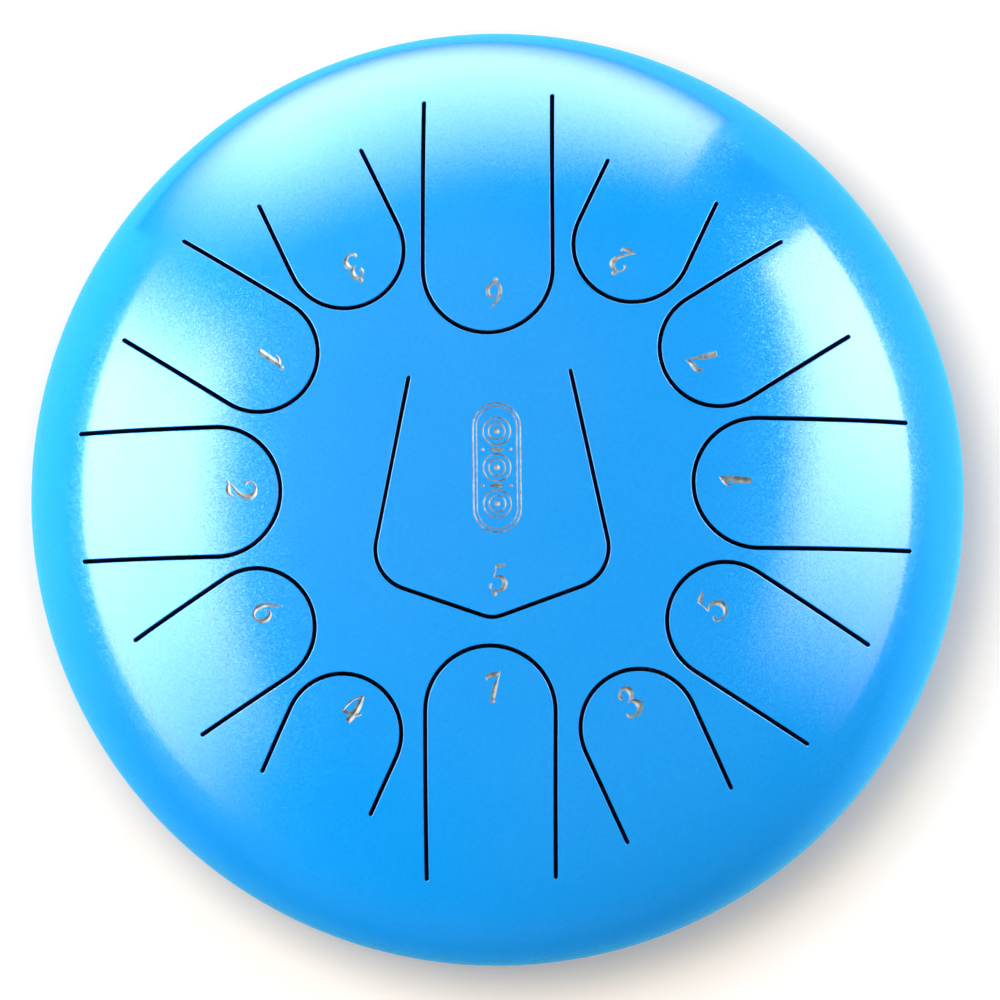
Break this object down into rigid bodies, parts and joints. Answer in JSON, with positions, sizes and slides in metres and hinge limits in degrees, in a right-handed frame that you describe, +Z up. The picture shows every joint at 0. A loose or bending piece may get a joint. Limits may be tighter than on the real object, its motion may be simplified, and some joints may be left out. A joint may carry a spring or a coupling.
{
  "type": "steel tongue drum",
  "caption": "Round steel tongue drum of two welded bowls, with tuned tongues cut in the upper one, a sound hole below and screwed rubber feet.",
  "frame": {"origin": "on the floor plane under the centre of the drum, level with the bottoms of the rubber feet", "axes": "+Z up through the crown, -Y towards the player, +X to the player's right"},
  "size_m": [0.3056, 0.3056, 0.158],
  "materials": {
    "blue_paint": "fine-grained metallic sky-blue paint, satin gloss",
    "zinc_steel": "bright zinc-plated steel hardware",
    "black_rubber": "moulded black rubber, matt"
  },
  "bodies": {
    "shell": {"upper_shell": "blue_paint", "lower_shell": "blue_paint", "weld_seam": "blue_paint", "rubber_foot_1": "black_rubber", "foot_washer_1": "zinc_steel", "foot_screw_1": "zinc_steel", "inside_washer_1": "zinc_steel", "lock_nut_1": "zinc_steel", "rubber_foot_2": "black_rubber", "foot_washer_2": "zinc_steel", "foot_screw_2": "zinc_steel", "inside_washer_2": "zinc_steel", "lock_nut_2": "zinc_steel", "rubber_foot_3": "black_rubber", "foot_washer_3": "zinc_steel", "foot_screw_3": "zinc_steel", "inside_washer_3": "zinc_steel", "lock_nut_3": "zinc_steel", "rubber_foot_4": "black_rubber", "foot_washer_4": "zinc_steel", "foot_screw_4": "zinc_steel", "inside_washer_4": "zinc_steel", "lock_nut_4": "zinc_steel"},
    "tongue_low_5": {"tongue_low_5": "blue_paint"},
    "tongue_low_6": {"tongue_low_6": "blue_paint"},
    "tongue_low_7": {"tongue_low_7": "blue_paint"},
    "tongue_1": {"tongue_1": "blue_paint"},
    "tongue_2": {"tongue_2": "blue_paint"},
    "tongue_3": {"tongue_3": "blue_paint"},
    "tongue_4": {"tongue_4": "blue_paint"},
    "tongue_5": {"tongue_5": "blue_paint"},
    "tongue_6": {"tongue_6": "blue_paint"},
    "tongue_7": {"tongue_7": "blue_paint"},
    "tongue_high_1": {"tongue_high_1": "blue_paint"},
    "tongue_high_2": {"tongue_high_2": "blue_paint"},
    "tongue_high_3": {"tongue_high_3": "blue_paint"}
  },
  "joints": [
    {"name": "tongue_low_5_flex", "type": "hinge", "parent": "shell", "child": "tongue_low_5", "pos_m": [0.00034, 0.03475, 0.15569], "axis": [0.9996, 0.0294, -0.0026], "range_deg": [-0.4, 0.4], "stiffness_Nm_per_rad": 320},
    {"name": "tongue_low_6_flex", "type": "hinge", "parent": "shell", "child": "tongue_low_6", "pos_m": [0, 0.125, 0.12803], "axis": [0.9981, 0.0487, -0.0386], "range_deg": [-0.35, 0.35], "stiffness_Nm_per_rad": 215},
    {"name": "tongue_low_7_flex", "type": "hinge", "parent": "shell", "child": "tongue_low_7", "pos_m": [-0.00154, -0.12349, 0.12921], "axis": [-0.9999, -0.0069, -0.0147], "range_deg": [-0.4, 0.4], "stiffness_Nm_per_rad": 225},
    {"name": "tongue_1_flex", "type": "hinge", "parent": "shell", "child": "tongue_1", "pos_m": [0.1325, -0.00042, 0.12131], "axis": [0.0157, -0.9997, -0.0192], "range_deg": [-0.4, 0.4], "stiffness_Nm_per_rad": 240},
    {"name": "tongue_2_flex", "type": "hinge", "parent": "shell", "child": "tongue_2", "pos_m": [-0.1315, -0.00075, 0.12231], "axis": [-0.0244, 0.9995, -0.0183], "range_deg": [-0.45, 0.45], "stiffness_Nm_per_rad": 250},
    {"name": "tongue_3_flex", "type": "hinge", "parent": "shell", "child": "tongue_3", "pos_m": [0.0583, -0.10412, 0.1324], "axis": [-0.89, -0.4553, 0.0251], "range_deg": [-0.6, 0.6], "stiffness_Nm_per_rad": 305},
    {"name": "tongue_4_flex", "type": "hinge", "parent": "shell", "child": "tongue_4", "pos_m": [-0.05638, -0.09581, 0.1373], "axis": [-0.9234, 0.3756, -0.0786], "range_deg": [-0.75, 0.75], "stiffness_Nm_per_rad": 375},
    {"name": "tongue_5_flex", "type": "hinge", "parent": "shell", "child": "tongue_5", "pos_m": [0.1091, -0.06641, 0.12605], "axis": [-0.5332, -0.8459, 0.0134], "range_deg": [-0.45, 0.45], "stiffness_Nm_per_rad": 245},
    {"name": "tongue_6_flex", "type": "hinge", "parent": "shell", "child": "tongue_6", "pos_m": [-0.10336, -0.06193, 0.1316], "axis": [-0.5742, 0.8172, -0.0502], "range_deg": [-0.55, 0.55], "stiffness_Nm_per_rad": 280},
    {"name": "tongue_7_flex", "type": "hinge", "parent": "shell", "child": "tongue_7", "pos_m": [0.10337, 0.06238, 0.13144], "axis": [0.5704, -0.8201, -0.0451], "range_deg": [-0.5, 0.5], "stiffness_Nm_per_rad": 270},
    {"name": "tongue_high_1_flex", "type": "hinge", "parent": "shell", "child": "tongue_high_1", "pos_m": [-0.10759, 0.06507, 0.12771], "axis": [0.5258, 0.8505, 0.0079], "range_deg": [-0.5, 0.5], "stiffness_Nm_per_rad": 245},
    {"name": "tongue_high_2_flex", "type": "hinge", "parent": "shell", "child": "tongue_high_2", "pos_m": [0.0553, 0.0967, 0.13718], "axis": [0.9252, -0.372, -0.0745], "range_deg": [-0.7, 0.7], "stiffness_Nm_per_rad": 355},
    {"name": "tongue_high_3_flex", "type": "hinge", "parent": "shell", "child": "tongue_high_3", "pos_m": [-0.0568, 0.0996, 0.13535], "axis": [0.8842, 0.4666, 0.0194], "range_deg": [-0.65, 0.65], "stiffness_Nm_per_rad": 325}
  ]
}
